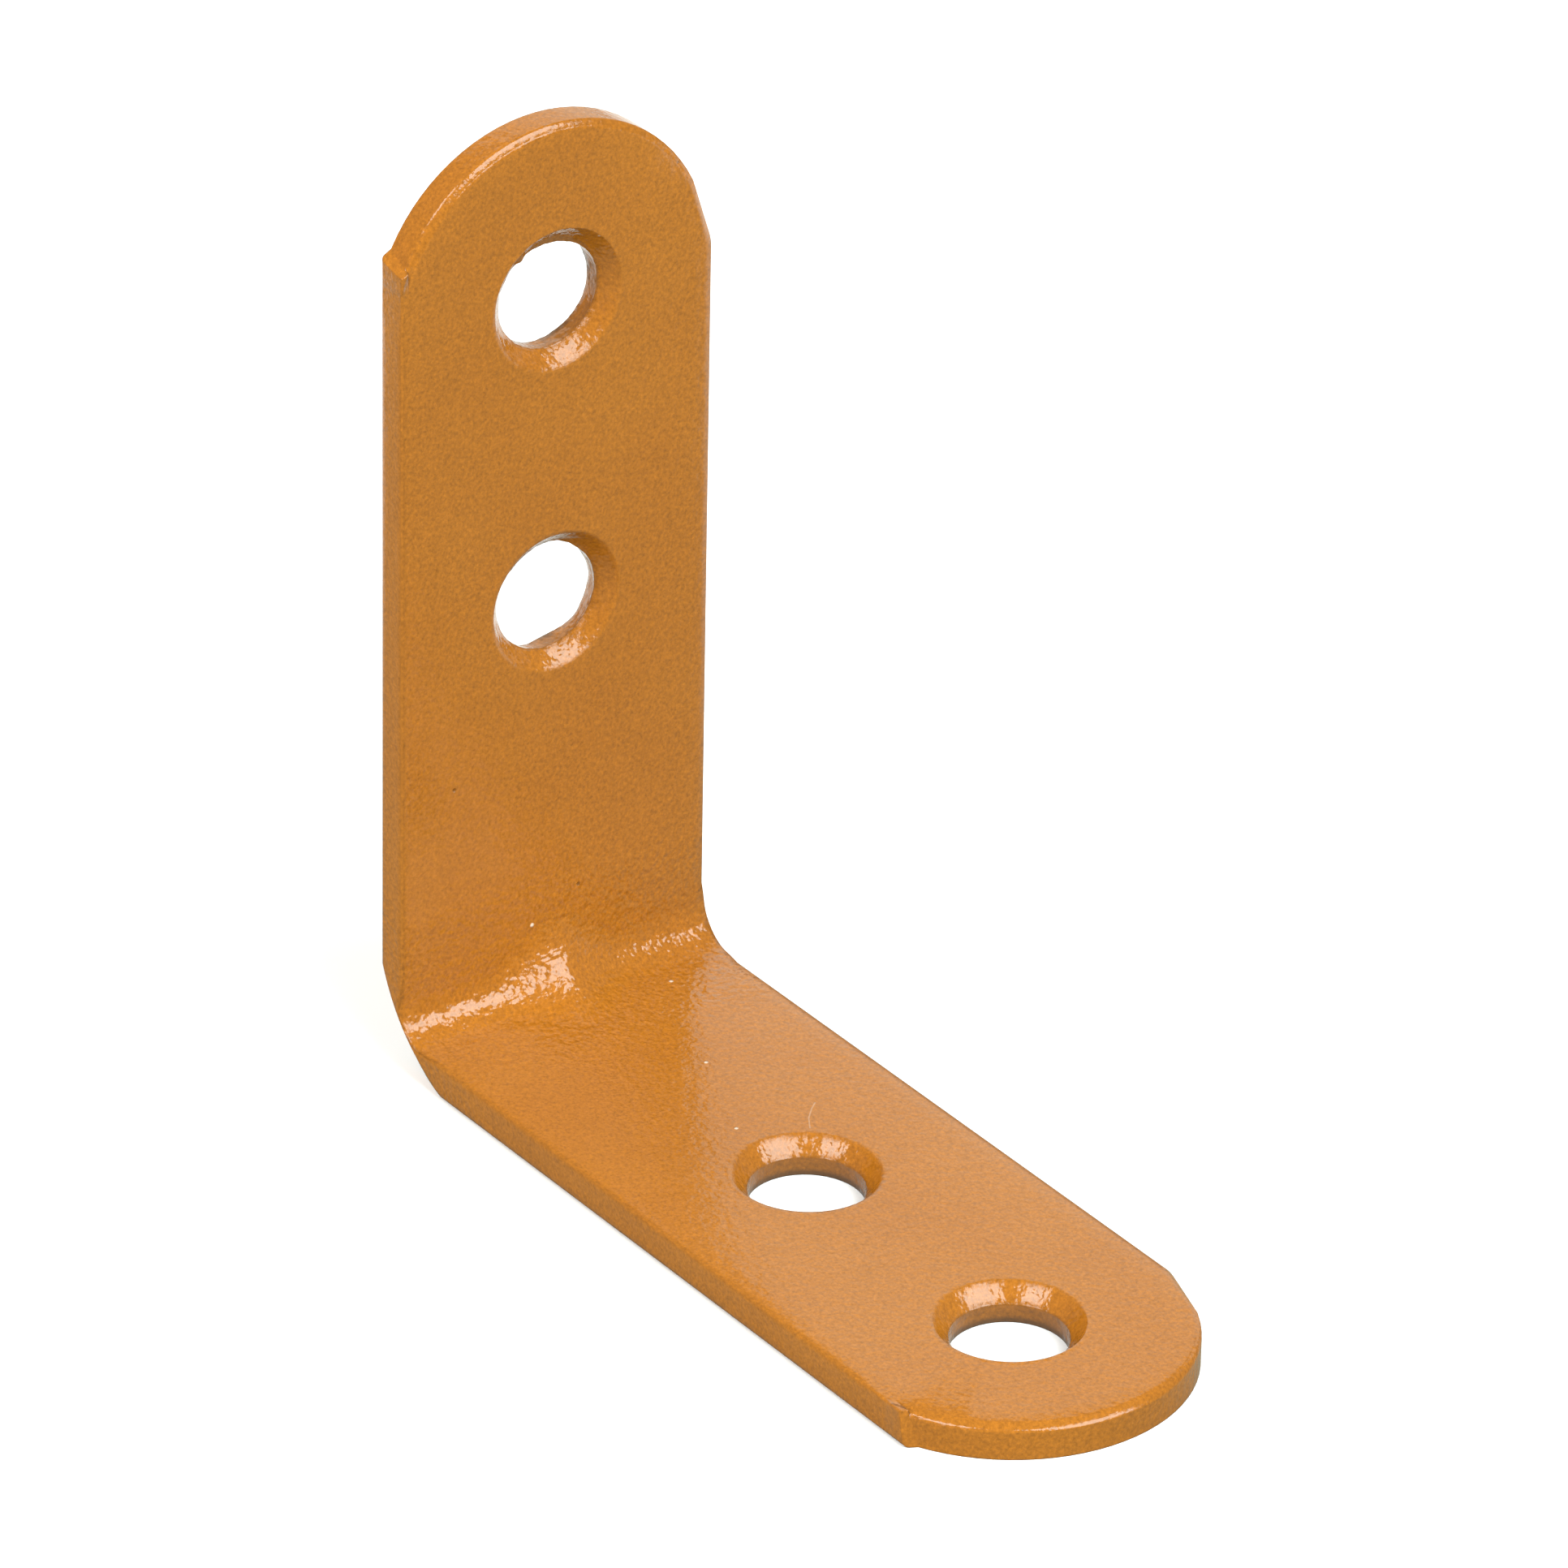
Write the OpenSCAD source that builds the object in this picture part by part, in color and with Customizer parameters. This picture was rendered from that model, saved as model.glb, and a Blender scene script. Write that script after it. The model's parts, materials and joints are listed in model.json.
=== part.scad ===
// Corner brace bracket: one flat steel strip, punched, countersunk and folded to a right angle.
// The upright leg stands along Z, the lower leg lies along X with its underside on z = 0, and the
// strip's width runs along Y. The origin is the middle of the footprint. Sizes are in millimetres.

/* [Strip] */
// Width of the strip
strip_w = 18.4; // [17.4:0.2:22]
// Thickness of the strip, paint included
strip_t = 1.9; // [1.7:0.1:2.2]
// Length of each leg over the outside of the fold
leg_l = 50; // [48:1:70]
// Rounding the shears left on the strip's back edges
edge_r = 0.3; // [0.2:0.05:0.4]
// Rounding of its front edges, which the shears left nearly sharp
lip_r = 0.12; // [0.08:0.02:0.2]

/* [Rounded ends] */
// How far the radius of the punched end exceeds half the strip's width
end_over = 0.2; // [0.1:0.05:0.3]
// How far the end punch stood off the strip's middle, towards -Y
end_shift = 0.2; // [0.1:0.05:0.4]
// Slant of the straight run between the arc and the +Y edge, in degrees
tail_angle = 18; // [16:1:20]
// How far inside the arc that straight run is cut
tail_cut = 0.1; // [0.05:0.05:0.15]
// Rounding the punch drew along the front edge of the end
roll_r = 0.45; // [0.3:0.05:0.6]
// Length of the horn left where the arc runs out of the -Y edge
horn_l = 1.6; // [1:0.1:2]
// Slope of the horn's flank, in degrees
horn_angle = 25; // [15:5:40]
// Lean of the horn from the back face to the front, in degrees
horn_lean = 16; // [10:1:20]

/* [Screw holes] */
// Diameter of the straight hole
hole_d = 5.9; // [4.5:0.1:6.2]
// Diameter of the countersink where it meets the inner face
mouth_d = 7.5; // [7:0.1:8.4]
// Length of the straight hole behind the countersink
land_t = 1; // [0.6:0.1:1.2]
// From the end of a leg to its outer hole
hole_end = 9.4; // [9:0.1:11]
// From the outer hole to the inner one
hole_pitch = 16.7; // [14:0.1:20]

/* [Fold] */
// Radius inside the fold
fold_r = 2; // [1.8:0.1:2.4]
// How far the outside of the fold is drawn in at each edge
draw_in = 0.9; // [0.5:0.05:1]
// How far the inside of the fold swells past each edge
swell = 0.2; // [0.15:0.05:0.3]
// Length of the swollen stretch of each edge
swell_l = 4.8; // [4:0.2:5.2]
// Distance from both back faces to the line the drawn-in edges are turned about
draw_axis = 8.5; // [8:0.5:10]

/* [Pressed rib] */
// Width of the rib along the fold
rib_w = 7.6; // [6.4:0.2:9]
// Radius of the fold under the rib's crest
crest_r = 4.6; // [4:0.1:5]
// Radius the rib's flanks would reach in the strip's middle, were they not cut off by the crest
flank_r = 5.6; // [5.4:0.1:6]

/* [Dent behind the rib] */
// Distance of the dent's floor from the sharp outer corner
dent_floor = 2.9; // [2.6:0.1:3]
// Radius of the dent's floor
dent_r = 1; // [0.8:0.1:1.2]
// Lean of the dent's flanks from its middle plane, in degrees
dent_angle = 50; // [45:1:58]

/* [Hidden] */
$fn = 96;
half_w = strip_w / 2;
// Cutting shapes run this far past what they cut.
past = 1;
// Outside radius of the fold, and the distance of its axis from both back faces.
heel_r = fold_r + strip_t;
// From the sharp outer corner to the outside of the fold, along its middle.
heel_gap = heel_r * (sqrt(2) - 1);
// The punched end: its radius, its centre, and the middle of the slanting run.
end_r = half_w + end_over;
end_z = leg_l - end_r;
tail_reach = end_r - tail_cut;
tail_z = end_z + tail_reach * sin(tail_angle);
// Where the horn leaves the arc, and how far it is drawn past the strip's edge.
horn_z = end_z + sqrt(pow(end_r, 2) - pow(half_w - end_shift, 2)) + horn_l;
horn_y = -end_shift - sqrt(pow(end_r, 2) - pow(horn_z - end_z, 2));
horn_reach = half_w + horn_y + past;
outer_hole_z = leg_l - hole_end;
inner_hole_z = outer_hole_z - hole_pitch;
sink_t = strip_t - land_t;
sink_rate = (mouth_d - hole_d) / sink_t;
// The side of the fold leans from the swollen inner edge to the drawn-in outer one.
draw_rate = (draw_in + swell) / strip_t;
draw_r = draw_axis * sqrt(2) - heel_gap - draw_in / draw_rate;
draw_end_z = draw_axis - sqrt(pow(draw_r, 2) - pow(draw_axis, 2));
dome_r = (pow(swell_l / 2, 2) + pow(swell, 2)) / (2 * swell);
dome_at = heel_r - (fold_r + swell) / sqrt(2);
// The rib's flanks are cones that touch both legs and open towards the strip's middle.
flank_rate = (flank_r - fold_r) / (rib_w / 2);
flank_apex_y = rib_w / 2 + fold_r / flank_rate;
flank_lean = atan(1 / (flank_rate * sqrt(2)));
flank_angle = asin(flank_rate / sqrt(1 + 2 * pow(flank_rate, 2)));
crest_y = rib_w / 2 - (crest_r - fold_r) / flank_rate;
// The rib's hollows bite this far into the legs, so that they meet the faces at an angle.
bite = 0.015;
// The rib is rooted this far from both back faces, inside the fold.
rib_root = 0.8 * strip_t;
dent_centre = dent_floor - dent_r;
dent_flank_x = dent_centre + dent_r * sin(dent_angle);
dent_flank_y = dent_r * cos(dent_angle);
dent_mouth_y = dent_flank_y + (dent_flank_x + past) * tan(dent_angle);

// Section of the strip with rounded long edges, from its back face outwards.
module strip_section() {
    translate([edge_r, -half_w])
        square([strip_t - edge_r - lip_r, strip_w]);
    translate([0, edge_r - half_w])
        square([edge_r, strip_w - 2 * edge_r]);
    translate([strip_t - lip_r, lip_r - half_w])
        square([lip_r, strip_w - 2 * lip_r]);
    for (side = [-1, 1]) {
        translate([edge_r, side * (half_w - edge_r)])
            circle(r = edge_r);
        translate([strip_t - lip_r, side * (half_w - lip_r)])
            circle(r = lip_r);
    }
}

// Section of what a cut leaves, from one distance to another, with the front edge drawn round.
module rim_section(inside, reach) {
    translate([inside, -past])
        square([reach - inside, strip_t + past - roll_r]);
    translate([inside, 0])
        square([reach - roll_r - inside, strip_t]);
    translate([reach - roll_r, strip_t - roll_r])
        circle(r = roll_r);
}

// The horn where the arc runs out, leaning as it goes through the strip.
module horn() {
    translate([0, horn_y, horn_z])
        rotate([0, horn_lean, -horn_lean / 2])
            rotate([90, 0, 90])
                translate([0, 0, -past])
                    linear_extrude(strip_t + 3 * past)
                        polygon([
                            [0, 0],
                            [-horn_reach, -horn_reach * tan(horn_angle)],
                            [-horn_reach, end_z - horn_z],
                            [0, end_z - horn_z]
                        ]);
}

// What the end punch leaves of the upright leg.
module end_outline() {
    intersection() {
        union() {
            translate([-past, 0, 0])
                rotate([90, 0, 90])
                    linear_extrude(strip_t + 2 * past)
                        polygon([
                            [-half_w - past, 0],
                            [half_w + past, 0],
                            [half_w + past, tail_z],
                            [0, tail_z],
                            [0, end_z],
                            [-half_w - past, end_z]
                        ]);
            translate([0, -end_shift, end_z])
                rotate([0, 90, 0])
                    rotate_extrude()
                        rim_section(0, end_r);
            horn();
        }
        // The straight cut, slanting from the arc down to the +Y edge.
        translate([0, -end_shift, end_z])
            rotate([tail_angle, 0, 0])
                rotate(180, [1, 1, 0])
                    linear_extrude(3 * leg_l, center = true)
                        rim_section(-leg_l, tail_reach);
    }
}

// One screw hole, along X from the back face.
module screw_hole(z) {
    translate([0, 0, z])
        rotate([0, 90, 0]) {
            translate([0, 0, -past])
                cylinder(h = strip_t + 2 * past, d = hole_d);
            translate([0, 0, land_t])
                cylinder(h = sink_t + past, d1 = hole_d, d2 = mouth_d + past * sink_rate);
        }
}

// The upright leg, from the fold to its rounded end.
module leg() {
    difference() {
        intersection() {
            translate([0, 0, heel_r])
                linear_extrude(leg_l - heel_r + past)
                    strip_section();
            end_outline();
        }
        screw_hole(outer_hole_z);
        screw_hole(inner_hole_z);
    }
}

// A quarter turn about the fold's axis of the section it is given.
module quarter_turn() {
    translate([heel_r, 0, heel_r])
        rotate([90, 0, 0])
            rotate([0, 0, 180])
                rotate_extrude(angle = 90)
                    children();
}

// The fold, in the strip's own section.
module fold() {
    quarter_turn()
        translate([heel_r, 0])
            mirror([1, 0])
                strip_section();
}

// The inner edges of the fold, squeezed out past the strip's sides.
module swollen_edges() {
    for (turned = [0, 1])
        mirror([0, turned, 0])
            intersection() {
                union() {
                    quarter_turn()
                        translate([fold_r, -half_w - past])
                            square([strip_t - edge_r, 2 * past]);
                    for (flipped = [0, 1])
                        mirror([flipped, 0, -flipped])
                            translate([edge_r, half_w - past, heel_r])
                                cube([strip_t - edge_r, 2 * past, swell_l]);
                }
                translate([dome_at, half_w + swell - dome_r, dome_at])
                    sphere(r = dome_r);
            }
}

// What the drawn-in outer edges of the fold lose.
module drawn_in_edges() {
    inner = 2 * past + draw_in;
    for (turned = [0, 1])
        mirror([0, turned, 0])
            difference() {
                translate([-past, half_w - draw_in - past, -past])
                    cube([draw_end_z + 2 * past, draw_in + 2 * past, draw_end_z + 2 * past]);
                translate([draw_axis, half_w + 2 * past, draw_axis])
                    rotate([90, 0, 0])
                        cylinder(
                            h = 2 * past + inner,
                            r1 = draw_r - 2 * past / draw_rate,
                            r2 = draw_r + inner / draw_rate
                        );
            }
}

// How far up the leg the rib reaches, across the strip.
module rib_reach() {
    translate([rib_root, 0, strip_t])
        rotate([90, 0, 90])
            linear_extrude(strip_t - rib_root + crest_r)
                polygon([
                    [-rib_w / 2, rib_root - strip_t],
                    [-rib_w / 2, fold_r],
                    [-crest_y, crest_r],
                    [crest_y, crest_r],
                    [rib_w / 2, fold_r],
                    [rib_w / 2, rib_root - strip_t]
                ]);
}

// The rib in the corner: the fold's inside radius grows towards the strip's middle.
module rib() {
    difference() {
        intersection() {
            rib_reach();
            mirror([1, 0, -1])
                rib_reach();
        }
        for (turned = [0, 1])
            mirror([0, turned, 0])
                translate([strip_t - bite, flank_apex_y, strip_t - bite])
                    rotate([0, 45, 0])
                        rotate([flank_lean, 0, 0])
                            cylinder(h = 4 * flank_r, r1 = 0, r2 = 4 * flank_r * tan(flank_angle));
        translate([strip_t + crest_r - bite, half_w, strip_t + crest_r - bite])
            rotate([90, 0, 0])
                cylinder(h = strip_w, r = crest_r);
    }
}

// The dent the rib's punch left across the outside of the fold.
module dent() {
    rotate([0, -45, 0])
        translate([0, 0, -2 * heel_r])
            linear_extrude(4 * heel_r)
                union() {
                    translate([dent_centre, 0])
                        circle(r = dent_r);
                    polygon([
                        [dent_flank_x, dent_flank_y],
                        [-past, dent_mouth_y],
                        [-past, -dent_mouth_y],
                        [dent_flank_x, -dent_flank_y]
                    ]);
                }
}

// The pieces above are drawn with the sharp outer corner at the origin.
module bracket() {
    color("#c87d32")
        translate([-leg_l / 2, 0, 0])
            difference() {
                union() {
                    leg();
                    mirror([1, 0, -1])
                        leg();
                    fold();
                    swollen_edges();
                    rib();
                }
                drawn_in_edges();
                dent();
            }
}

bracket();
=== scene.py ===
"""A corner brace bracket of painted strip steel, dressed and lit for its photograph.

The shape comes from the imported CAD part. This script gives the steel its coat of ochre enamel, with the
orange peel, grain, dust and pits that the photograph shows, and sets the table, the lights and the camera.
Lengths are in metres and the axes are the part's own: the upright leg stands along Z, the lower leg lies
along X, and the strip's width runs along Y.
"""

import json
import logging
import math
from dataclasses import dataclass, field
from enum import Enum

import bpy
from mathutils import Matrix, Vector, noise

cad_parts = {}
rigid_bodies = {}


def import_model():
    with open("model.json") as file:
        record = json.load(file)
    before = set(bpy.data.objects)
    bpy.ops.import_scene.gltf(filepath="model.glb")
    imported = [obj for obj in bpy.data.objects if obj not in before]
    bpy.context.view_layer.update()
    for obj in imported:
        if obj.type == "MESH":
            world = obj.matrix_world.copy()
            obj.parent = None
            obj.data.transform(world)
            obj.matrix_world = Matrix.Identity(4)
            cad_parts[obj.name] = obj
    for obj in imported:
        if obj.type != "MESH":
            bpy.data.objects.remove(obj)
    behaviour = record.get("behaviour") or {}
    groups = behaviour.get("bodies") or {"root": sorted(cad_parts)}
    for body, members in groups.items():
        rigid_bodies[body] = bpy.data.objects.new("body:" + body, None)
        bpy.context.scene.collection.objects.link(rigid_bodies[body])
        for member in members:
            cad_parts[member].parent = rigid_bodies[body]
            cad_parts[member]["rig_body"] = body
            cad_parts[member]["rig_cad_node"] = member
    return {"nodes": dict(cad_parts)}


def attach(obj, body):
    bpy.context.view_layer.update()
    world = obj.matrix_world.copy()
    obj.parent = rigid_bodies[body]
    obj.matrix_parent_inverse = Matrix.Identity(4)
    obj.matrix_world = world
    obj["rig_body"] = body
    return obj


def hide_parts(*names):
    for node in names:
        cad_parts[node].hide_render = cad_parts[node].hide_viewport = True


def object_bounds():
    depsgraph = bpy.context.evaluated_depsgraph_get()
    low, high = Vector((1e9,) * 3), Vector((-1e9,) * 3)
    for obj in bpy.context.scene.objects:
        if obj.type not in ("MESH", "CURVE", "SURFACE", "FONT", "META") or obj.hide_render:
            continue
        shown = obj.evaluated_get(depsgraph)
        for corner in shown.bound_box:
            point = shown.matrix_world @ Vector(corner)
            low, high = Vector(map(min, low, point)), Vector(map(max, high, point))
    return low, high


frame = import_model()
CAD_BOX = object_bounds()

LOG = logging.getLogger("bracket")
MM = 0.001
Point = tuple[float, float, float]
Colour = tuple[float, float, float]
# A span is a range. Where it holds a ramp's two ends, the mark is 0 at the first and 1 at the second.
Span = tuple[float, float]
Socket = bpy.types.NodeSocket
WHITE: Colour = (1.0, 1.0, 1.0)


class Grain(Enum):
    """How wide each kind of unevenness in the paint is, in metres."""

    TONE = 9.0 * MM
    WEAR = 3.0 * MM
    PEEL = 1.2 * MM
    WRINKLE = 0.40 * MM
    GRIT = 0.18 * MM
    SATIN = 0.13 * MM


@dataclass(frozen=True)
class StripSizes:
    """The sizes of the folded strip that its paint, its torn edges and its table follow."""

    back: float = 25.0 * MM
    thickness: float = 1.9 * MM
    fold_centre: float = 3.9 * MM
    outer_hole: float = 40.6 * MM
    inner_hole: float = 23.9 * MM
    bore: float = 2.95 * MM
    mouth: float = 3.76 * MM
    land: float = 1.0 * MM

    def along_lower(self, height: float) -> float:
        """Find where a height on the upright leg comes along the lower one, which is its double."""
        return height - self.back

    def upright_spot(self, y_mm: float, z_mm: float) -> Point:
        """Name a place on the upright leg's inner face, in millimetres."""
        return (self.thickness - self.back, y_mm * MM, z_mm * MM)

    def lower_spot(self, x_mm: float, y_mm: float) -> Point:
        """Name a place on the lower leg's inner face, in millimetres."""
        return (x_mm * MM, y_mm * MM, self.thickness)


STEEL = StripSizes()


def rgba(colour: Colour) -> tuple[float, float, float, float]:
    """Add full opacity to a colour.

    Args:
        colour: Linear red, green and blue.

    Returns:
        The colour with its alpha.
    """
    return (*colour, 1.0)


@dataclass(frozen=True)
class Speckle:
    """How one kind of speck is scattered: a cell's width, a speck's radius, and the share of full cells."""

    spacing: float
    radius: float
    share: float
    shift: float = 0.0


@dataclass
class Sheet:
    """A node tree being drawn up, with short words for the links a painter needs."""

    owner: bpy.types.Material | bpy.types.World
    spot_core: float = 0.35
    speck_core: float = 0.3
    speck_drift: Point = (1.0, 1.7, 2.3)
    mix_under: int = 6
    mix_over: int = 7
    mix_result: int = 2

    def __post_init__(self) -> None:
        """Switch the owner to nodes and keep its tree at hand."""
        self.owner.use_nodes = True
        self.tree = self.owner.node_tree
        self.tree.nodes.clear()

    def add(self, kind: str, **values: object) -> bpy.types.Node:
        """Add one node.

        Args:
            kind: The node's type name.
            values: Attributes to set on it.

        Returns:
            The new node.
        """
        node = self.tree.nodes.new(kind)
        for name, value in values.items():
            setattr(node, name, value)
        return node

    def join(self, source: Socket, target: Socket) -> None:
        """Link an output to an input.

        Args:
            source: The output.
            target: The input.
        """
        self.tree.links.new(source, target)

    def feed(self, target: Socket, value: object) -> None:
        """Give an input a number, a colour or another node's output.

        Args:
            target: The input.
            value: A socket to link, or a constant to set.
        """
        if isinstance(value, Socket):
            self.join(value, target)
        else:
            target.default_value = value

    def split(self, vector: Socket) -> tuple[Socket, Socket, Socket]:
        """Take a vector apart.

        Args:
            vector: The vector.

        Returns:
            Its X, Y and Z.
        """
        node = self.add("ShaderNodeSeparateXYZ")
        self.join(vector, node.inputs[0])
        return node.outputs["X"], node.outputs["Y"], node.outputs["Z"]

    def sum_up(self, kind: str, *terms: object, clamp: bool = False) -> Socket:
        """Work out one number from others.

        Args:
            kind: The operation, such as MULTIPLY.
            terms: Its terms, as numbers or sockets.
            clamp: Whether the result stays between 0 and 1.

        Returns:
            The result.
        """
        node = self.add("ShaderNodeMath", operation=kind, use_clamp=clamp)
        for slot, term in zip(node.inputs, terms):
            self.feed(slot, term)
        return node.outputs[0]

    def spread(self, value: Socket, old: Span, new: Span = (0.0, 1.0)) -> Socket:
        """Stretch a value from one range to another, smoothly and without running over.

        Args:
            value: What to stretch.
            old: Where the old range starts and ends.
            new: Where the new range starts and ends.

        Returns:
            The stretched value.
        """
        node = self.add("ShaderNodeMapRange", interpolation_type="SMOOTHSTEP")
        self.feed(node.inputs["Value"], value)
        for name, number in zip(("From Min", "From Max", "To Min", "To Max"), (*old, *new)):
            node.inputs[name].default_value = number
        return node.outputs["Result"]

    def ramp(self, value: Socket, start: float, width: float) -> Socket:
        """Let a value climb in a straight line from 0 to 1.

        Args:
            value: What to stretch.
            start: Where the climb starts.
            width: How far it goes on.

        Returns:
            The climb, held at 0 before it and at 1 after it.
        """
        return self.sum_up("DIVIDE", self.sum_up("SUBTRACT", value, start), width, clamp=True)

    def noise(self, place: Socket, grain: Grain, detail: float = 1.0, roughness: float = 0.5) -> Socket:
        """Lay an even noise.

        Args:
            place: The coordinates it lies in.
            grain: How wide one patch of it is.
            detail: How many finer octaves ride on it.
            roughness: How strong those octaves are.

        Returns:
            The noise, about 0.5 on average.
        """
        node = self.add("ShaderNodeTexNoise", noise_dimensions="3D")
        self.join(place, node.inputs["Vector"])
        node.inputs["Scale"].default_value = 1.0 / grain.value
        node.inputs["Detail"].default_value = detail
        node.inputs["Roughness"].default_value = roughness
        return node.outputs["Fac"]

    def specks(self, place: Socket, kind: Speckle) -> Socket:
        """Scatter round specks, one in some of the cells.

        Args:
            place: The coordinates they lie in.
            kind: How they are scattered. Its shift keeps two kinds from falling together.

        Returns:
            1 in a speck's middle, falling to 0 at its rim.
        """
        moved = self.add("ShaderNodeMapping")
        self.join(place, moved.inputs["Vector"])
        moved.inputs["Location"].default_value = tuple(kind.shift * step for step in self.speck_drift)
        cell = self.add("ShaderNodeTexVoronoi", voronoi_dimensions="3D", feature="F1")
        self.join(moved.outputs["Vector"], cell.inputs["Vector"])
        cell.inputs["Scale"].default_value = 1.0 / kind.spacing
        rim = kind.radius / kind.spacing
        dot = self.spread(cell.outputs["Distance"], (rim, self.speck_core * rim))
        parts = self.add("ShaderNodeSeparateColor")
        self.join(cell.outputs["Color"], parts.inputs["Color"])
        chosen = self.sum_up("LESS_THAN", parts.outputs["Red"], kind.share)
        return self.sum_up("MULTIPLY", dot, chosen)

    def vector(self, kind: str, *terms: object, result: str = "Vector") -> Socket:
        """Work out a vector, or one number from vectors.

        Args:
            kind: The operation, such as DISTANCE.
            terms: Its vectors, as tuples or sockets.
            result: The output to read, Vector or Value.

        Returns:
            The result.
        """
        node = self.add("ShaderNodeVectorMath", operation=kind)
        for slot, term in zip(node.inputs, terms):
            self.feed(slot, term)
        return node.outputs[result]

    def scaled(self, vector: object, factor: object) -> Socket:
        """Make a vector or a colour longer or shorter.

        Args:
            vector: What to scale.
            factor: By how much.

        Returns:
            The scaled vector.
        """
        node = self.add("ShaderNodeVectorMath", operation="SCALE")
        self.feed(node.inputs[0], vector)
        self.feed(node.inputs["Scale"], factor)
        return node.outputs["Vector"]

    def spot(self, place: Socket, centre: Point, radius: float) -> Socket:
        """Mark one round spot.

        Args:
            place: The coordinates it lies in.
            centre: Its middle, in metres.
            radius: Its radius, in metres.

        Returns:
            1 in its middle, falling to 0 at its rim.
        """
        gap = self.vector("DISTANCE", place, centre, result="Value")
        return self.spread(gap, (radius, self.spot_core * radius))

    def streak(self, place: Socket, start: Point, end: Point, radius: float) -> Socket:
        """Mark one thin straight streak.

        Args:
            place: The coordinates it lies in.
            start: Where it begins, in metres.
            end: Where it ends.
            radius: Half its width.

        Returns:
            1 along its middle, falling to 0 at its sides.
        """
        way = Vector(end) - Vector(start)
        offset = self.vector("SUBTRACT", place, start)
        along = self.vector("DOT_PRODUCT", offset, tuple(way.normalized()), result="Value")
        held = self.sum_up("MINIMUM", self.sum_up("MAXIMUM", along, 0.0), way.length)
        foot = self.scaled(tuple(way.normalized()), held)
        gap = self.vector("DISTANCE", offset, foot, result="Value")
        return self.spread(gap, (radius, self.spot_core * radius))

    def either(self, marks: list[Socket]) -> Socket:
        """Join several marks, keeping the strongest at each place.

        Args:
            marks: Values from 0 to 1.

        Returns:
            The joined mark.
        """
        joined = marks[0]
        for mark in marks[1:]:
            joined = self.sum_up("MAXIMUM", joined, mark)
        return joined

    def blend(self, share: object, under: object, over: object) -> Socket:
        """Lay one colour over another.

        Args:
            share: How much of the upper one shows.
            under: The lower colour.
            over: The upper colour.

        Returns:
            The mixed colour.
        """
        node = self.add("ShaderNodeMix", data_type="RGBA")
        self.feed(node.inputs[0], share)
        self.feed(node.inputs[self.mix_under], under)
        self.feed(node.inputs[self.mix_over], over)
        return node.outputs[self.mix_result]

    def finish(self, kind: str, surface: Socket) -> None:
        """Close the tree with its output.

        Args:
            kind: The output node's type name.
            surface: What it shows.
        """
        self.join(surface, self.add(kind).inputs["Surface"])


@dataclass
class Site:
    """Where on the bracket a point of its paint lies."""

    sheet: Sheet
    wall_ends: Span = (3.02 * MM, 2.97 * MM)
    place: Socket = field(init=False)
    x: Socket = field(init=False)
    y: Socket = field(init=False)
    z: Socket = field(init=False)

    def __post_init__(self) -> None:
        """Read the part's own coordinates once."""
        self.place = self.sheet.add("ShaderNodeTexCoord").outputs["Object"]
        self.x, self.y, self.z = self.sheet.split(self.place)

    def reach(self, across: Point, centre: Point) -> Socket:
        """Measure the distance from one hole's axis, with `across` 0 along the axis and 1 across it."""
        flat = self.sheet.vector("MULTIPLY", self.place, across)
        return self.sheet.vector("DISTANCE", flat, centre, result="Value")

    def hole_reaches(self) -> list[Socket]:
        """Measure the distance from the axis of each screw hole.

        Returns:
            One distance a hole.
        """
        reaches = []
        for height in (STEEL.outer_hole, STEEL.inner_hole):
            reaches.append(self.reach((0.0, 1.0, 1.0), (0.0, 0.0, height)))
            reaches.append(self.reach((1.0, 1.0, 0.0), (STEEL.along_lower(height), 0.0, 0.0)))
        return reaches

    def hole_walls(self) -> Socket:
        """Mark the straight walls of the screw holes with 1."""
        return self.sheet.either([self.sheet.spread(reach, self.wall_ends) for reach in self.hole_reaches()])

    def from_back(self) -> Socket:
        """Measure the depth of a point above the nearer back face."""
        return self.sheet.sum_up("MINIMUM", self.sheet.sum_up("ADD", self.x, STEEL.back), self.z)

    def past_ends(self) -> Socket:
        """Measure how far a point lies past the outer hole of its leg.

        Returns:
            The length past it, or 0 before it.
        """
        above = self.sheet.sum_up("SUBTRACT", self.z, STEEL.outer_hole)
        ahead = self.sheet.sum_up("SUBTRACT", self.x, STEEL.along_lower(STEEL.outer_hole))
        return self.sheet.sum_up("MAXIMUM", self.sheet.sum_up("MAXIMUM", above, ahead), 0.0)


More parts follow.
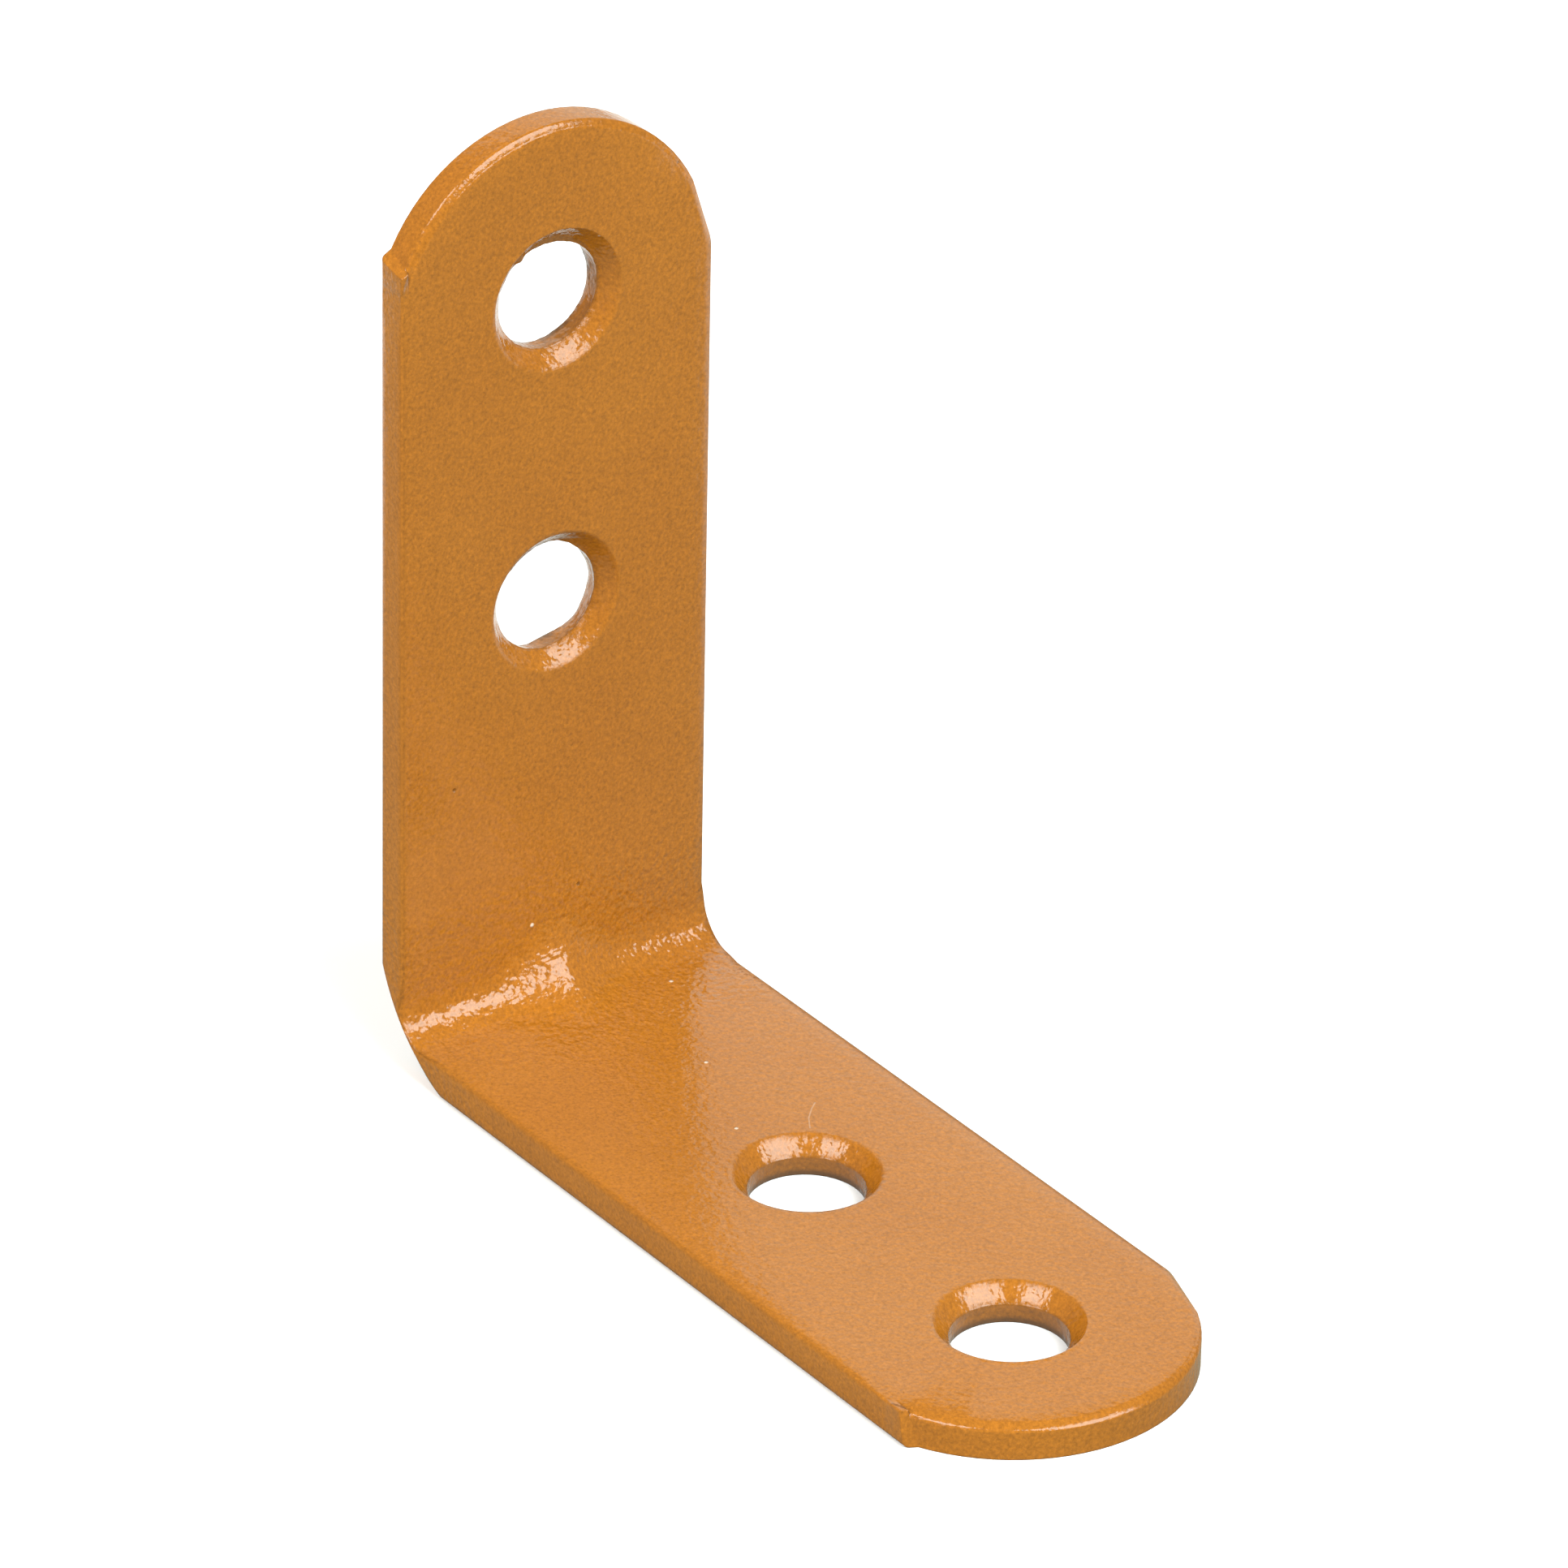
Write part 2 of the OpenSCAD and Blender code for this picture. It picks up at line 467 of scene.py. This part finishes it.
@dataclass(frozen=True)
class Blemishes:
    """Dust, a hair and small hollows that dried into the paint."""

    nibs: tuple[Point, ...] = (
        STEEL.upright_spot(-1.30, 5.86),
        STEEL.upright_spot(2.39, 43.3),
        STEEL.lower_spot(-20.2, 5.25),
        STEEL.lower_spot(-6.5, -0.44),
        STEEL.lower_spot(-12.6, 2.04),
    )
    nib_radius: float = 0.15 * MM
    hair: tuple[Point, ...] = (
        STEEL.lower_spot(-6.35, 4.25),
        STEEL.lower_spot(-5.95, 3.75),
        STEEL.lower_spot(-5.3, 3.1),
        STEEL.lower_spot(-4.48, 2.59),
    )
    hair_radius: float = 0.055 * MM
    hair_share: float = 0.22
    fluff: Speckle = Speckle(5.2 * MM, 0.07 * MM, 0.10)
    hollows: tuple[Point, ...] = (
        STEEL.upright_spot(1.51, 7.37),
        STEEL.upright_spot(-6.03, 15.06),
        STEEL.upright_spot(7.14, 46.1),
    )
    hollow_radius: float = 0.14 * MM
    pinholes: Speckle = Speckle(2.2 * MM, 0.09 * MM, 0.22, 0.013)

    def dust(self, site: Site) -> Socket:
        """Mark the dust and the hair.

        Args:
            site: Where a point lies.

        Returns:
            1 on a nib, less on the hair, else 0.
        """
        sheet = site.sheet
        marks = [sheet.spot(site.place, centre, self.nib_radius) for centre in self.nibs]
        marks.append(sheet.specks(site.place, self.fluff))
        for start, end in zip(self.hair, self.hair[1:]):
            line = sheet.streak(site.place, start, end, self.hair_radius)
            marks.append(sheet.sum_up("MULTIPLY", line, self.hair_share))
        return sheet.either(marks)

    def pits(self, site: Site) -> Socket:
        """Mark the dark hollows.

        Args:
            site: Where a point lies.

        Returns:
            1 in a hollow, else 0.
        """
        marks = [site.sheet.spot(site.place, centre, self.hollow_radius) for centre in self.hollows]
        marks.append(site.sheet.specks(site.place, self.pinholes))
        return site.sheet.either(marks)


@dataclass(frozen=True)
class Relief:
    """How the coat stands up and falls away: heights as shares of one bump, and where they hold.

    The sag and the bead are measured from the axis of the outer hole, and along the straight sides from the
    middle of the strip. The crease is measured from the fold's centre line, square to the line between the
    legs and along it.
    """

    bump: float = 0.05 * MM
    peel: float = 0.25
    wrinkle: float = 0.62
    pooled: float = 1.30
    satin: float = 0.20
    nib: float = 0.8
    fold_pool: Span = (11.0 * MM, 8.8 * MM)
    cone_pool: Span = (4.1 * MM, 3.8 * MM)
    cone_share: float = 0.45
    sag: float = 1.5
    sag_start: float = 7.9 * MM
    sag_width: float = 1.25 * MM
    sag_power: float = 2.0
    bead: float = 2.6
    bead_start: float = 9.1 * MM
    bead_width: float = 0.3 * MM
    bead_power: float = 2.5
    bead_clear: Span = (2.2 * MM, 3.6 * MM)
    end_starts: Span = (0.0, 2.0 * MM)
    punch_slip: float = 0.2 * MM
    crease: float = 1.1
    crease_aside: float = 0.21 * MM
    crease_width: float = 0.8 * MM
    crease_inside: Span = (-4.2 * MM, -3.6 * MM)
    crease_beside: Span = (3.0 * MM, 3.8 * MM)
    soft_edge: float = 0.55 * MM
    end_edge: float = 0.1 * MM
    wall_softness: float = 0.2
    edge_samples: int = 8

    def gathered(self, site: Site) -> Socket:
        """Mark where the wet paint gathered: in the fold and in the countersinks.

        Args:
            site: Where a point lies.

        Returns:
            1 where the paint gathered, else 0.
        """
        sheet = site.sheet
        reach = sheet.sum_up("ADD", sheet.sum_up("ADD", site.x, STEEL.back), site.z)
        marks = [sheet.spread(reach, self.fold_pool)]
        for reach in site.hole_reaches():
            marks.append(sheet.spread(reach, self.cone_pool, (0.0, self.cone_share)))
        return sheet.either(marks)

    def edges(self, site: Site, past: Socket) -> Socket:
        """Let the faces fall away towards the edges, and the paint bead up along the round ends.

        Args:
            site: Where a point lies.
            past: How far it lies past the outer hole.

        Returns:
            The height.
        """
        sheet = site.sheet
        slip = sheet.spread(past, self.end_starts, (0.0, self.punch_slip))
        flat = sheet.add("ShaderNodeCombineXYZ")
        sheet.join(past, flat.inputs[0])
        sheet.join(sheet.sum_up("ADD", site.y, slip), flat.inputs[1])
        reach = sheet.vector("LENGTH", flat.outputs[0], result="Value")
        fall = sheet.sum_up("POWER", sheet.ramp(reach, self.sag_start, self.sag_width), self.sag_power)
        fall = sheet.sum_up("MULTIPLY", fall, -self.sag)
        rise = sheet.sum_up("POWER", sheet.ramp(reach, self.bead_start, self.bead_width), self.bead_power)
        rise = sheet.sum_up("MULTIPLY", rise, sheet.spread(past, self.bead_clear))
        return sheet.sum_up("MULTIPLY_ADD", rise, self.bead, fall)

    def fold_crease(self, site: Site) -> Socket:
        """Mark the line beside the rib along which the fold is tightest.

        Args:
            site: Where a point lies.

        Returns:
            1 along the line, falling to 0 beside it.
        """
        sheet = site.sheet
        along_x = sheet.sum_up("SUBTRACT", site.x, STEEL.along_lower(STEEL.fold_centre))
        along_z = sheet.sum_up("SUBTRACT", site.z, STEEL.fold_centre)
        slant = sheet.sum_up("MULTIPLY", sheet.sum_up("SUBTRACT", along_x, along_z), math.sqrt(0.5))
        gap = sheet.sum_up("ABSOLUTE", sheet.sum_up("ADD", slant, self.crease_aside))
        line = sheet.spread(gap, (0.0, self.crease_width), (1.0, 0.0))
        inside = sheet.spread(sheet.sum_up("ADD", along_x, along_z), self.crease_inside)
        beside = sheet.spread(sheet.sum_up("ABSOLUTE", site.y), self.crease_beside)
        return sheet.sum_up("MULTIPLY", line, sheet.sum_up("MULTIPLY", inside, beside))

    def height(self, site: Site, past: Socket, dust: Socket, pits: Socket) -> Socket:
        """Add up the whole relief.

        Args:
            site: Where a point lies.
            past: How far it lies past the outer hole.
            dust: The mark of the dust.
            pits: The mark of the hollows.

        Returns:
            The height.
        """
        sheet = site.sheet
        total = sheet.sum_up("MULTIPLY", sheet.noise(site.place, Grain.PEEL), self.peel)
        swing = sheet.sum_up("MULTIPLY_ADD", self.gathered(site), self.pooled, self.wrinkle)
        total = sheet.sum_up("MULTIPLY_ADD", sheet.noise(site.place, Grain.WRINKLE), swing, total)
        total = sheet.sum_up("MULTIPLY_ADD", sheet.noise(site.place, Grain.SATIN), self.satin, total)
        total = sheet.sum_up("ADD", self.edges(site, past), total)
        total = sheet.sum_up("MULTIPLY_ADD", self.fold_crease(site), -self.crease, total)
        total = sheet.sum_up("MULTIPLY_ADD", dust, self.nib, total)
        return sheet.sum_up("MULTIPLY_ADD", pits, -self.nib, total)

    def normal(self, site: Site, walls: Socket, dust: Socket, pits: Socket) -> Socket:
        """Turn the relief into the way the paint faces, with soft edges under it.

        Args:
            site: Where a point lies.
            walls: The mark of the holes' walls, whose edges stay crisper.
            dust: The mark of the dust.
            pits: The mark of the hollows.

        Returns:
            The normal.
        """
        sheet = site.sheet
        past = site.past_ends()
        soft = sheet.add("ShaderNodeBevel", samples=self.edge_samples)
        radius = sheet.spread(past, self.end_starts, (self.soft_edge, self.end_edge))
        crisper = sheet.sum_up("MULTIPLY_ADD", walls, self.wall_softness - 1.0, 1.0)
        sheet.join(sheet.sum_up("MULTIPLY", radius, crisper), soft.inputs["Radius"])
        bump = sheet.add("ShaderNodeBump")
        bump.inputs["Strength"].default_value = 1.0
        bump.inputs["Distance"].default_value = self.bump
        sheet.join(self.height(site, past, dust, pits), bump.inputs["Height"])
        sheet.join(soft.outputs["Normal"], bump.inputs["Normal"])
        return bump.outputs["Normal"]


@dataclass(frozen=True)
class Enamel:
    """Glossy ochre enamel over bare steel."""

    name: str = "ochre_enamel"
    body: Colour = (0.330, 0.1115, 0.0085)
    thin: Colour = (0.306, 0.100, 0.007)
    thick: Colour = (0.346, 0.120, 0.010)
    dust: Colour = (0.66, 0.56, 0.45)
    pit: Colour = (0.09, 0.036, 0.006)
    # Painted shade: a dark brown laid on the walls of the holes, darkest next to the back face.
    painted_shade_brown: Colour = (0.075, 0.036, 0.016)
    body_share: float = 0.6
    dust_share: float = 0.8
    pit_share: float = 0.6
    rim_share: float = 0.8
    wall_share: float = 0.3
    rim_ends: Span = (0.45 * MM, 0.12 * MM)
    cloud_range: Span = (0.3, 0.7)
    cloud_detail: float = 2.0
    grit: float = 1.15
    grit_turn: Point = (0.5, 0.7, 0.3)
    grit_detail: float = 2.0
    grit_roughness: float = 0.7
    grit_mean: float = 0.5
    roughness: float = 0.12
    wear: Span = (-0.03, 0.04)
    wear_detail: float = 3.0
    ior: float = 1.5
    blemishes: Blemishes = Blemishes()
    relief: Relief = Relief()

    def painted_shade_in_holes(self, site: Site, walls: Socket) -> Socket:
        """Mark where painted shade darkens the walls of the holes, most of all next to the back face.

        Args:
            site: Where a point lies.
            walls: The mark of the walls.

        Returns:
            1 at the back edge of each wall, and less inside it.
        """
        rims = site.sheet.spread(site.from_back(), self.rim_ends, (self.wall_share, 1.0))
        return site.sheet.sum_up("MULTIPLY", walls, rims)

    def colour(self, site: Site, walls: Socket, dust: Socket, pits: Socket) -> Socket:
        """Mix the tone of the coat, with its grit, painted shade in the holes, dust and hollows.

        Args:
            site: Where a point lies.
            walls: The mark of the holes' walls.
            dust: The mark of the dust.
            pits: The mark of the hollows.

        Returns:
            The colour.
        """
        sheet = site.sheet
        cloud = sheet.spread(sheet.noise(site.place, Grain.TONE, self.cloud_detail), self.cloud_range)
        tone = sheet.blend(cloud, rgba(self.thin), rgba(self.thick))
        tone = sheet.blend(self.body_share, tone, rgba(self.body))
        turned = sheet.add("ShaderNodeMapping")
        sheet.join(site.place, turned.inputs["Vector"])
        turned.inputs["Rotation"].default_value = self.grit_turn
        grit = sheet.noise(turned.outputs["Vector"], Grain.GRIT, self.grit_detail, self.grit_roughness)
        even = 1.0 - self.grit_mean * self.grit
        tone = sheet.scaled(tone, sheet.sum_up("MULTIPLY_ADD", grit, self.grit, even))
        layers = (
            # Painted shade on the holes' walls, darkest next to the back face.
            (self.painted_shade_in_holes(site, walls), self.rim_share, self.painted_shade_brown),
            (dust, self.dust_share, self.dust),
            (pits, self.pit_share, self.pit),
        )
        for mark, share, paint in layers:
            tone = sheet.blend(sheet.sum_up("MULTIPLY", mark, share), tone, rgba(paint))
        return tone

    def brew(self) -> bpy.types.Material:
        """Mix the paint.

        Returns:
            The material.
        """
        material = bpy.data.materials.new(self.name)
        sheet = Sheet(material)
        site = Site(sheet)
        walls = site.hole_walls()
        dust = self.blemishes.dust(site)
        pits = self.blemishes.pits(site)
        shell = sheet.add("ShaderNodeBsdfPrincipled")
        sheet.join(self.colour(site, walls, dust, pits), shell.inputs["Base Color"])
        patches = sheet.noise(site.place, Grain.WEAR, self.wear_detail)
        wear = sheet.spread(patches, self.cloud_range, self.wear)
        sheet.join(sheet.sum_up("ADD", wear, self.roughness), shell.inputs["Roughness"])
        shell.inputs["IOR"].default_value = self.ior
        sheet.join(self.relief.normal(site, walls, dust, pits), shell.inputs["Normal"])
        sheet.finish("ShaderNodeOutputMaterial", shell.outputs["BSDF"])
        return material


@dataclass(frozen=True)
class TableTop:
    """The plain white surface the bracket stands on, which sends less light back in front than behind."""

    name: str = "white_table"
    size: float = 8.0
    drop: float = 0.01 * MM
    shade: Colour = (0.86, 0.86, 0.86)
    bounce_front: Colour = (0.23, 0.27, 0.23)
    bounce_back: Colour = (0.75, 0.75, 0.73)
    fades: Span = (25.0 * MM, 60.0 * MM)
    glow: float = 0.10
    gleam: float = 0.45
    gleam_ends: Span = (3.3 * MM, 2.9 * MM)

    def mirrored_gleam(self, sheet: Sheet, place: Socket) -> Socket:
        """Light the table under the lower leg's holes, as far as their walls mirror it.

        Args:
            sheet: The node tree being drawn up.
            place: The table's coordinates.

        Returns:
            The light's strength.
        """
        spots = []
        for height in (STEEL.inner_hole, STEEL.outer_hole):
            centre = (STEEL.along_lower(height), 0.0, 0.0)
            gap = sheet.vector("DISTANCE", place, centre, result="Value")
            spots.append(sheet.spread(gap, self.gleam_ends, (0.0, self.gleam)))
        return sheet.either(spots)

    def brew(self) -> bpy.types.Material:
        """Mix the table's white.

        Returns:
            The material.
        """
        material = bpy.data.materials.new(self.name)
        sheet = Sheet(material)
        path = sheet.add("ShaderNodeLightPath")
        seen, mirrored = path.outputs["Is Camera Ray"], path.outputs["Is Glossy Ray"]
        place = sheet.add("ShaderNodeTexCoord").outputs["Object"]
        x, y, _ = sheet.split(place)
        away = sheet.sum_up("MULTIPLY", sheet.sum_up("SUBTRACT", y, x), math.sqrt(0.5))
        bounce = sheet.blend(sheet.spread(away, self.fades), rgba(self.bounce_front), rgba(self.bounce_back))
        matt = sheet.add("ShaderNodeBsdfDiffuse")
        sheet.join(sheet.blend(seen, bounce, rgba(self.shade)), matt.inputs["Color"])
        glow = sheet.add("ShaderNodeEmission")
        glow.inputs["Color"].default_value = rgba(WHITE)
        strength = sheet.sum_up("MULTIPLY", mirrored, self.mirrored_gleam(sheet, place))
        sheet.join(sheet.sum_up("MULTIPLY_ADD", seen, self.glow, strength), glow.inputs["Strength"])
        both = sheet.add("ShaderNodeAddShader")
        sheet.join(matt.outputs["BSDF"], both.inputs[0])
        sheet.join(glow.outputs["Emission"], both.inputs[1])
        sheet.finish("ShaderNodeOutputMaterial", both.outputs["Shader"])
        return material

    def lay(self) -> bpy.types.Object:
        """Lay the table under the bracket.

        Returns:
            The table.
        """
        bpy.ops.mesh.primitive_plane_add(size=self.size, location=(0.0, 0.0, -self.drop))
        top = bpy.context.active_object
        top.name = "table_top"
        top.data.materials.append(self.brew())
        return top


@dataclass(frozen=True)
class Tear:
    """A stretch of a hole's edge that the punch tore or pushed out of round."""

    angle_deg: float
    width_deg: float
    depth: float

    def at(self, angle_deg: float) -> float:
        """Say how far the edge is moved at one place.

        Args:
            angle_deg: Where round the hole, from straight down towards +Y.

        Returns:
            How far it moves away from the hole's axis, in metres.
        """
        gap = (angle_deg - self.angle_deg + 180.0) % 360.0 - 180.0
        return self.depth * math.exp(-((gap / self.width_deg) ** 2))


@dataclass(frozen=True)
class TornHole:
    """One screw hole of the upright leg, with the uneven edges its punch left."""

    height: float
    front: tuple[Tear, ...] = ()
    back: tuple[Tear, ...] = ()
    cuts: int = 3
    cone_room: float = 1.0 * MM
    inner_slack: float = 0.97
    wall_slack: float = 1.01
    ragged: float = 0.035 * MM
    rag_width: float = 0.35 * MM

    def holds(self, spot: Vector) -> bool:
        """Say whether a point lies on the wall or the countersink of this hole.

        Args:
            spot: The point.

        Returns:
            True if it does.
        """
        reach = math.hypot(spot.y, spot.z - self.height)
        on_leg = spot.x < STEEL.land - STEEL.back + self.cone_room
        return on_leg and self.inner_slack * STEEL.bore < reach < STEEL.mouth

    def move_at(self, spot: Vector, out: Vector) -> float:
        """Say how far a point on the wall moves away from the hole's axis.

        Args:
            spot: The point.
            out: The way from the axis to it.

        Returns:
            The length, in metres.
        """
        angle = math.degrees(math.atan2(out.y, -out.z))
        depth = min(max((spot.x + STEEL.back) / STEEL.land, 0.0), 1.0)
        move = depth * sum(tear.at(angle) for tear in self.front)
        move += (1.0 - depth) * sum(tear.at(angle) for tear in self.back)
        return move + self.ragged * noise.noise(spot / self.rag_width)

    def tear(self, piece: bpy.types.Object) -> None:
        """Give the hole finer facets and move its two inner edges.

        Args:
            piece: The bracket's copy, in object mode with nothing selected.
        """
        mesh = piece.data
        for face in mesh.polygons:
            face.select = all(self.holds(mesh.vertices[i].co) for i in face.vertices)
        bpy.ops.object.mode_set(mode="EDIT")
        bpy.ops.mesh.subdivide(number_cuts=self.cuts)
        bpy.ops.mesh.select_all(action="DESELECT")
        bpy.ops.object.mode_set(mode="OBJECT")
        for vertex in mesh.vertices:
            out = Vector((0.0, vertex.co.y, vertex.co.z - self.height))
            if self.holds(vertex.co) and out.length <= self.wall_slack * STEEL.bore:
                vertex.co += out.normalized() * self.move_at(vertex.co, out)


@dataclass
class Bracket:
    """The folded strip itself: a smooth-shaded copy of the CAD part in its coat of paint."""

    node: bpy.types.Object
    paint: Enamel = field(default_factory=Enamel)
    name: str = "painted_bracket"
    weld: float = 0.002 * MM
    crease_deg: float = 28.0
    torn_holes: tuple[TornHole, ...] = (
        TornHole(
            STEEL.outer_hole,
            front=(
                Tear(178.0, 52.0, -0.26 * MM),
                Tear(-143.0, 5.0, -0.15 * MM),
                Tear(-118.0, 9.0, -0.05 * MM),
            ),
            back=(Tear(65.0, 30.0, 0.10 * MM), Tear(-8.0, 18.0, 0.09 * MM)),
        ),
        TornHole(
            STEEL.inner_hole,
            front=(Tear(-145.0, 28.0, -0.12 * MM), Tear(140.0, 28.0, -0.14 * MM)),
            back=(
                Tear(47.0, 22.0, 0.36 * MM),
                Tear(84.0, 22.0, 0.30 * MM),
                Tear(-14.0, 16.0, 0.22 * MM),
            ),
        ),
    )

    def copy_part(self) -> bpy.types.Object:
        """Copy the CAD part and close its seams.

        Returns:
            The copy, active and in object mode, with none of its faces selected.
        """
        bpy.ops.object.select_all(action="DESELECT")
        piece = self.node.copy()
        piece.data = self.node.data.copy()
        piece.parent = None
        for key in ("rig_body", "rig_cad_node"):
            if key in piece:
                del piece[key]
        bpy.context.scene.collection.objects.link(piece)
        piece.name = self.name
        piece.data.name = self.name
        bpy.context.view_layer.objects.active = piece
        piece.select_set(True)
        if piece.data.has_custom_normals:
            bpy.ops.mesh.customdata_custom_splitnormals_clear()
        bpy.ops.object.mode_set(mode="EDIT")
        bpy.ops.mesh.select_all(action="SELECT")
        bpy.ops.mesh.remove_doubles(threshold=self.weld)
        bpy.ops.mesh.normals_make_consistent(inside=False)
        bpy.ops.mesh.select_mode(type="FACE")
        bpy.ops.mesh.select_all(action="DESELECT")
        bpy.ops.object.mode_set(mode="OBJECT")
        return piece

    def build(self) -> bpy.types.Object:
        """Make the shown piece.

        Returns:
            The piece, riding on the frame in place of the CAD node.
        """
        piece = self.copy_part()
        for hole in self.torn_holes:
            hole.tear(piece)
        bpy.ops.object.shade_smooth_by_angle(angle=math.radians(self.crease_deg))
        piece.data.materials.clear()
        piece.data.materials.append(self.paint.brew())
        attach(piece, "root")
        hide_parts("bracket")
        LOG.info("%s: %d vertices", piece.name, len(piece.data.vertices))
        return piece


@dataclass(frozen=True)
class Lamp:
    """A soft box that hangs in one direction from the bracket."""

    name: str
    azimuth_deg: float
    height_deg: float
    half_width_deg: float
    half_height_deg: float
    glare: float
    colour: Colour = (0.93, 1.0, 0.98)
    mirrored: bool = True
    distance: float = 0.9

    def hang(self, target: Vector) -> bpy.types.Object:
        """Put the lamp in its place, facing the bracket.

        Args:
            target: What it faces.

        Returns:
            The lamp.
        """
        light = bpy.data.lights.new(self.name, "AREA")
        light.shape = "RECTANGLE"
        light.size = 2 * self.distance * math.tan(math.radians(self.half_width_deg))
        light.size_y = 2 * self.distance * math.tan(math.radians(self.half_height_deg))
        light.energy = self.glare * math.pi * light.size * light.size_y
        light.color = self.colour
        lamp = bpy.data.objects.new(self.name, light)
        bpy.context.scene.collection.objects.link(lamp)
        turn, lift = math.radians(self.azimuth_deg), math.radians(self.height_deg)
        away = Vector((math.cos(lift) * math.cos(turn), math.cos(lift) * math.sin(turn), math.sin(lift)))
        lamp.location = target + away * self.distance
        lamp.rotation_euler = away.to_track_quat("Z", "Y").to_euler()
        lamp.visible_glossy = self.mirrored
        return lamp


@dataclass(frozen=True)
class Viewpoint:
    """Where the photograph was taken from, and through which lens."""

    place: Point = (0.388107, -0.285641, 0.291014)
    turn_deg: Point = (61.0182, -0.9486, 54.4282)
    lens_mm: float = 263.128
    sensor_mm: float = 36.0
    clip: Span = (0.01, 50.0)

    def stand(self) -> bpy.types.Object:
        """Stand the camera there.

        Returns:
            The camera.
        """
        data = bpy.data.cameras.new("camera")
        data.lens = self.lens_mm
        data.sensor_width = self.sensor_mm
        data.clip_start, data.clip_end = self.clip
        camera = bpy.data.objects.new("camera", data)
        bpy.context.scene.collection.objects.link(camera)
        camera.location = self.place
        camera.rotation_euler = tuple(math.radians(angle) for angle in self.turn_deg)
        bpy.context.scene.camera = camera
        return camera


@dataclass
class Studio:
    """The table, the lights and the camera."""

    target: Vector
    table: TableTop = field(default_factory=TableTop)
    viewpoint: Viewpoint = field(default_factory=Viewpoint)
    room_light: float = 0.34
    lamps: tuple[Lamp, ...] = (
        Lamp("window_lamp", 18.5, 44.0, 23.0, 22.0, 8.0),
        Lamp("side_lamp", -83.0, 48.0, 15.2, 12.0, 8.4),
        Lamp("back_panel", 144.0, 24.0, 32.0, 21.0, 0.82, colour=(0.95, 1.0, 0.88)),
        Lamp("low_fill", -80.0, 8.0, 25.0, 14.0, 6.3, colour=(1.0, 0.98, 0.94), mirrored=False),
        Lamp("back_fill", 172.0, 12.0, 25.0, 10.0, 6.0, colour=(1.0, 0.99, 0.96), mirrored=False),
    )

    def light_room(self) -> None:
        """Fill the room with even light, and show white wherever the table ends."""
        world = bpy.data.worlds.new("pale_room")
        bpy.context.scene.world = world
        sheet = Sheet(world)
        mix = sheet.add("ShaderNodeMixShader")
        sheet.join(sheet.add("ShaderNodeLightPath").outputs["Is Camera Ray"], mix.inputs[0])
        for slot, strength in zip(mix.inputs[1:], (self.room_light, 1.0)):
            wall = sheet.add("ShaderNodeBackground")
            wall.inputs["Color"].default_value = rgba(WHITE)
            wall.inputs["Strength"].default_value = strength
            sheet.join(wall.outputs[0], slot)
        sheet.finish("ShaderNodeOutputWorld", mix.outputs[0])

    def build(self) -> None:
        """Set the whole studio."""
        self.table.lay()
        self.light_room()
        for lamp in self.lamps:
            lamp.hang(self.target)
        self.viewpoint.stand()
        bpy.context.scene.view_settings.view_transform = "Standard"
        LOG.info("studio: %d lamps", len(self.lamps))


def main() -> None:
    """Build the bracket and its studio, in that order."""
    logging.basicConfig(level=logging.INFO, format="%(name)s: %(message)s")
    low, high = CAD_BOX
    Bracket(frame["nodes"]["bracket"]).build()
    Studio(target=(low + high) / 2).build()


if __name__ == "__main__":
    main()
